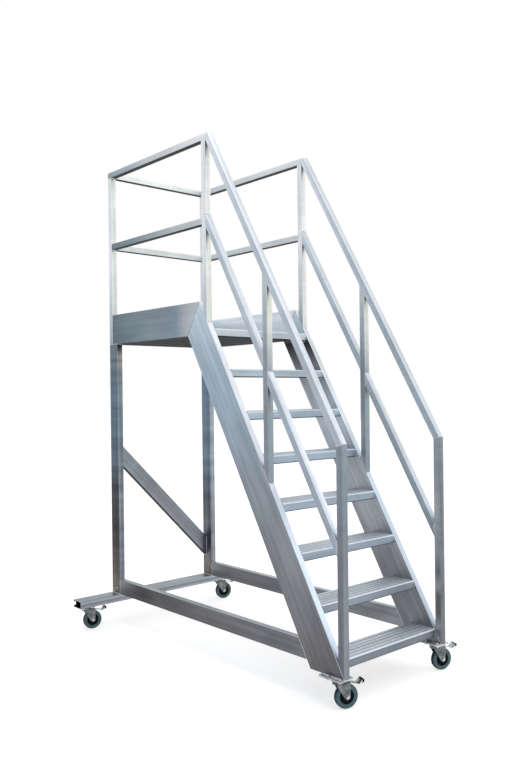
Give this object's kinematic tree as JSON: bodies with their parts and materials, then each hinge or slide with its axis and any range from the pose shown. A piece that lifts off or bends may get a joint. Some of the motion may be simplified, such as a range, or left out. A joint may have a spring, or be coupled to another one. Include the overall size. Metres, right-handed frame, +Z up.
{
  "type": "mobile platform stairs",
  "caption": "Mobile platform stairs in welded aluminium profiles: steep grooved steps up to a fenced platform, handrails on both sides, and swivel casters with brakes.",
  "frame": {"origin": "on the floor, half way between the beam's ends and between its rear face and the stringers' toes", "axes": "+X across the stairs, to the climber's right; +Y the way a person climbs; +Z up"},
  "size_m": [1.3532, 2.209, 3.16],
  "materials": {
    "aluminium": "brushed mill finish",
    "step_aluminium": "extruded mill finish, grooved",
    "zinc_steel": "zinc plated",
    "black_nylon": "satin black",
    "grey_rubber": "matt grey-blue"
  },
  "bodies": {
    "root": {"base_rail_left": "aluminium", "base_rail_right": "aluminium", "caster_plates": "zinc_steel", "foot_plate_left": "aluminium", "foot_plate_right": "aluminium", "guard_post_front_left": "aluminium", "guard_post_front_right": "aluminium", "guard_post_rear_left": "aluminium", "guard_post_rear_right": "aluminium", "handrail_left": "aluminium", "handrail_right": "aluminium", "mid_rail_left": "aluminium", "mid_rail_rear": "aluminium", "mid_rail_right": "aluminium", "platform_deck": "step_aluminium", "platform_nosing": "step_aluminium", "rear_beam": "aluminium", "rear_board": "aluminium", "rear_brace": "aluminium", "rear_leg_left": "aluminium", "rear_leg_right": "aluminium", "side_board_left": "aluminium", "side_board_right": "aluminium", "slope_rail_lower_left": "aluminium", "slope_rail_lower_right": "aluminium", "slope_rail_upper_left": "aluminium", "slope_rail_upper_right": "aluminium", "stair_post_low_left": "aluminium", "stair_post_low_right": "aluminium", "stair_post_mid_left": "aluminium", "stair_post_mid_right": "aluminium", "stringer_left": "aluminium", "stringer_right": "aluminium", "top_rail_left": "aluminium", "top_rail_rear": "aluminium", "top_rail_right": "aluminium", "tread_1": "step_aluminium", "tread_2": "step_aluminium", "tread_3": "step_aluminium", "tread_4": "step_aluminium", "tread_5": "step_aluminium", "tread_6": "step_aluminium", "tread_7": "step_aluminium"},
    "swivel_front_left": {"caster_fork_front_left": "zinc_steel", "brake_pedal_front_left": "zinc_steel"},
    "wheel_front_left": {"caster_wheel_front_left": "black_nylon", "caster_tyre_front_left": "grey_rubber"},
    "swivel_front_right": {"caster_fork_front_right": "zinc_steel", "brake_pedal_front_right": "zinc_steel"},
    "wheel_front_right": {"caster_wheel_front_right": "black_nylon", "caster_tyre_front_right": "grey_rubber"},
    "swivel_rear_left": {"caster_fork_rear_left": "zinc_steel", "brake_pedal_rear_left": "zinc_steel"},
    "wheel_rear_left": {"caster_wheel_rear_left": "black_nylon", "caster_tyre_rear_left": "grey_rubber"},
    "swivel_rear_right": {"caster_fork_rear_right": "zinc_steel", "brake_pedal_rear_right": "zinc_steel"},
    "wheel_rear_right": {"caster_wheel_rear_right": "black_nylon", "caster_tyre_rear_right": "grey_rubber"}
  },
  "joints": [
    {"name": "swivel_front_left", "type": "hinge", "parent": "root", "child": "swivel_front_left", "pos_m": [-0.345, -1.03954, 0.134], "axis": [0, 0, 1], "continuous": true},
    {"name": "roll_front_left", "type": "hinge", "parent": "swivel_front_left", "child": "wheel_front_left", "pos_m": [-0.30699, -1.0549, 0.0625], "axis": [0.3746, 0.9272, 0], "continuous": true},
    {"name": "swivel_front_right", "type": "hinge", "parent": "root", "child": "swivel_front_right", "pos_m": [0.465, -1.03954, 0.134], "axis": [0, 0, 1], "continuous": true},
    {"name": "roll_front_right", "type": "hinge", "parent": "swivel_front_right", "child": "wheel_front_right", "pos_m": [0.50377, -1.05289, 0.0625], "axis": [0.3256, 0.9455, 0], "continuous": true},
    {"name": "swivel_rear_left", "type": "hinge", "parent": "root", "child": "swivel_rear_left", "pos_m": [-0.602, 1.04854, 0.134], "axis": [0, 0, 1], "continuous": true},
    {"name": "roll_rear_left", "type": "hinge", "parent": "swivel_rear_left", "child": "wheel_rear_left", "pos_m": [-0.56205, 1.03932, 0.0625], "axis": [0.225, 0.9744, 0], "continuous": true},
    {"name": "swivel_rear_right", "type": "hinge", "parent": "root", "child": "swivel_rear_right", "pos_m": [0.548, 1.04854, 0.134], "axis": [0, 0, 1], "continuous": true},
    {"name": "roll_rear_right", "type": "hinge", "parent": "swivel_rear_right", "child": "wheel_rear_right", "pos_m": [0.58699, 1.03587, 0.0625], "axis": [0.309, 0.9511, 0], "continuous": true}
  ]
}
